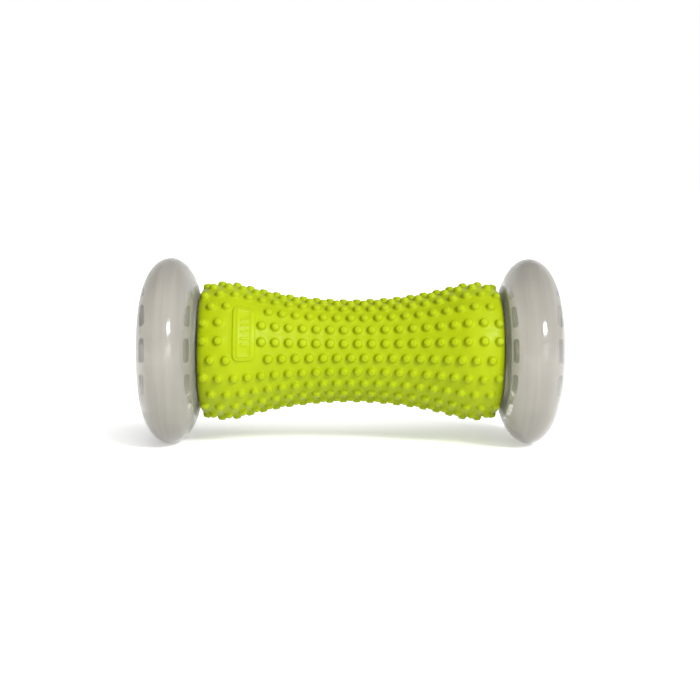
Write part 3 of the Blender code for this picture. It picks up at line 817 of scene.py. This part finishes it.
def hub_material():
    """Pale nylon in the rim's skin and at the hub's mouths, with a painted shade in the hollow between them.
    """
    graph = Graph("hub_nylon_grain")
    # masks for the rim's skin and the hub's mouths; the hollow between them gets a painted shade
    skin_start, skin_end = (RIM_INNER + 0.1) * MM, (RIM_INNER + 0.5) * MM
    skin = map_range(graph.tree, from_axle(graph), 0.0, 1.0, skin_start, skin_end)
    mouth_start, mouth_end = (SPOKE_HALF_WIDTH - 1.2) * MM, SPOKE_HALF_WIDTH * MM
    mouth = map_range(graph.tree, from_wheel_plane(graph), 0.0, 1.0, mouth_start, mouth_end)
    unshaded = graph.calculated("MAXIMUM", skin, mouth)
    grain = graph.noise(60.0, 4.0)
    pale = graph.ramp(grain, [(0.3, (0.42, 0.403, 0.378)), (0.7, (0.48, 0.46, 0.433))])
    # painted shade: a near-black colour for the hollow inside the hub, which stands in for its inside lying
    # in shade
    hollow_shade = graph.ramp(grain, [(0.3, (0.055, 0.05, 0.015)), (0.7, (0.075, 0.07, 0.02))])
    graph.link(graph.mixed(hollow_shade, pale, unshaded), graph.shader.inputs["Base Color"])
    graph.vary("Roughness", graph.noise(220.0), 0.37, 0.49)
    graph.bump(graph.noise(1800.0, 2.0), 0.00003, 0.5)
    return graph.material


def abs_material():
    """Lime ABS with a coarse moulded grain."""
    graph = Graph("lime_abs_grain")
    colour = graph.ramp(graph.noise(90.0, 4.0), [(0.3, (0.30, 0.42, 0.004)), (0.7, (0.36, 0.48, 0.006))])
    graph.link(colour, graph.shader.inputs["Base Color"])
    graph.vary("Roughness", graph.noise(300.0), 0.42, 0.58)
    graph.bump(graph.noise(1500.0, 3.0), 0.00005, 0.6)
    return graph.material


def steel_material():
    """Bright turned steel, with fine marks round the axle and a little staining."""
    graph = Graph("turned_steel", Metallic=1.0)
    marks = graph.noise(1.0, 4.0, graph.stretched((9000.0, 300.0, 300.0)))
    stain = graph.noise(120.0, 4.0)
    colour = graph.ramp(stain, [(0.3, (0.50, 0.50, 0.51)), (0.7, (0.62, 0.62, 0.63))])
    graph.link(colour, graph.shader.inputs["Base Color"])
    graph.vary("Roughness", marks, 0.2, 0.42)
    graph.bump(marks, 0.00001, 0.4)
    return graph.material


def finish_cad_nodes(replaced, steel, plastic):
    """Gives each CAD node that isn't replaced a procedural material in place of its plain one."""
    slots = {part["node"]: part["material_slot"] for part in frame["record"]["subparts"]}
    for name, node in frame["nodes"].items():
        if name not in replaced:
            for material_slot in node.material_slots:
                material_slot.material = steel if slots[name] == "steel" else plastic


# Floor, light and camera

CAMERA_ELEVATION = math.radians(7.0)
CAMERA_YAW = math.radians(-1.21)
CAMERA_ROLL = math.radians(0.26)
CAMERA_DISTANCE = 0.541
CAMERA_LENS = 71.74
CAMERA_SHIFT = 0.0013
FLOOR_SIZE = 12.0
SKY_STRENGTH = 0.45  # of the world's light overhead, against 1 near the horizon
LEFT_STRENGTH = 0.35  # of the world's light from the far left, against 1 elsewhere
LIGHT_DISTANCE = 3.0


def backdrop_material():
    """A pale floor that glows a little, like a light table, so that its shadows stay soft."""
    graph = Graph("pale_floor", Roughness=0.9, Emission_Strength=0.3)
    colour = graph.ramp(graph.noise(3.0, 2.0), [(0.3, (0.93, 0.93, 0.93)), (0.7, (0.95, 0.95, 0.95))])
    graph.link(colour, graph.shader.inputs["Base Color"])
    return graph.material


def make_floor():
    bm = bmesh.new()
    bmesh.ops.create_circle(bm, cap_ends=True, segments=64, radius=FLOOR_SIZE)
    mesh = bpy.data.meshes.new("floor")
    bm.to_mesh(mesh)
    bm.free()
    mesh.materials.append(backdrop_material())
    floor = bpy.data.objects.new("floor", mesh)
    bpy.context.scene.collection.objects.link(floor)


def add_light(name, kind, azimuth, elevation, strength, size):
    """A soft light that faces the roller. Azimuth 0 is the camera's side, and 90 is +X."""
    data = bpy.data.lights.new(name, kind)
    data.energy = strength
    if kind == "SUN":
        data.angle = size
    else:
        data.shape = "RECTANGLE"
        data.size, data.size_y = size
    light = bpy.data.objects.new(name, data)
    light.visible_glossy = name == "key"  # the only light that glossy surfaces mirror
    bpy.context.scene.collection.objects.link(light)
    a, e = math.radians(azimuth), math.radians(elevation)
    towards = Vector((math.sin(a) * math.cos(e), -math.cos(a) * math.cos(e), math.sin(e)))
    light.location = AXLE + towards * LIGHT_DISTANCE
    light.rotation_euler = towards.to_track_quat("Z", "Y").to_euler()


def add_world():
    """A white studio, dimmer overhead and dimmest at the far left."""
    world = bpy.data.worlds.new("studio")
    bpy.context.scene.world = world
    world.use_nodes = True
    tree = world.node_tree
    way = tree.nodes.new("ShaderNodeSeparateXYZ")
    tree.links.new(tree.nodes.new("ShaderNodeTexCoord").outputs["Generated"], way.inputs["Vector"])
    glow = map_range(tree, way.outputs["Z"], 1.0, SKY_STRENGTH, 0.3, 0.6)
    shade = map_range(tree, way.outputs["X"], LEFT_STRENGTH, 1.0, -0.9, -0.3)
    strength = tree.nodes.new("ShaderNodeMath")
    strength.operation = "MULTIPLY"
    tree.links.new(glow, strength.inputs[0])
    tree.links.new(shade, strength.inputs[1])
    background = tree.nodes["Background"]
    background.inputs["Color"].default_value = (1.0, 1.0, 1.0, 1.0)
    tree.links.new(strength.outputs["Value"], background.inputs["Strength"])


def add_lights():
    add_light("key", "AREA", 37, 31, 92.0, (0.8, 0.65))
    add_light("top", "SUN", 36, 58, 2.0, math.radians(60))
    add_light("fill", "AREA", 34, 6, 31.0, (1.6, 0.5))


def add_camera():
    data = bpy.data.cameras.new("camera")
    data.lens = CAMERA_LENS
    data.sensor_width = 36.0
    data.shift_y = CAMERA_SHIFT
    camera = bpy.data.objects.new("camera", data)
    bpy.context.scene.collection.objects.link(camera)
    turn = Euler((math.pi / 2 - CAMERA_ELEVATION, 0, CAMERA_YAW)).to_matrix().to_4x4()
    turn = turn @ Matrix.Rotation(CAMERA_ROLL, 4, "Z")
    camera.matrix_world = Matrix.Translation(AXLE) @ turn @ Matrix.Translation((0, 0, CAMERA_DISTANCE))
    bpy.context.scene.camera = camera


def main():
    bpy.context.scene.view_settings.view_transform = "Standard"
    steel, plastic = steel_material(), abs_material()
    make_sleeve(rubber_material())
    urethane = urethane_material()
    nylon = hub_material()
    cap = cap_material()
    replaced = {"massage_sleeve"}
    for side in SIDES:
        make_tyre(side, urethane)
        make_hub(side, nylon)
        make_hub_cap(side, cap)
        replaced |= {f"{side}_tyre", f"{side}_hub", f"{side}_hub_cap"}
    finish_cad_nodes(replaced, steel, plastic)
    make_floor()
    add_world()
    add_lights()
    add_camera()


main()
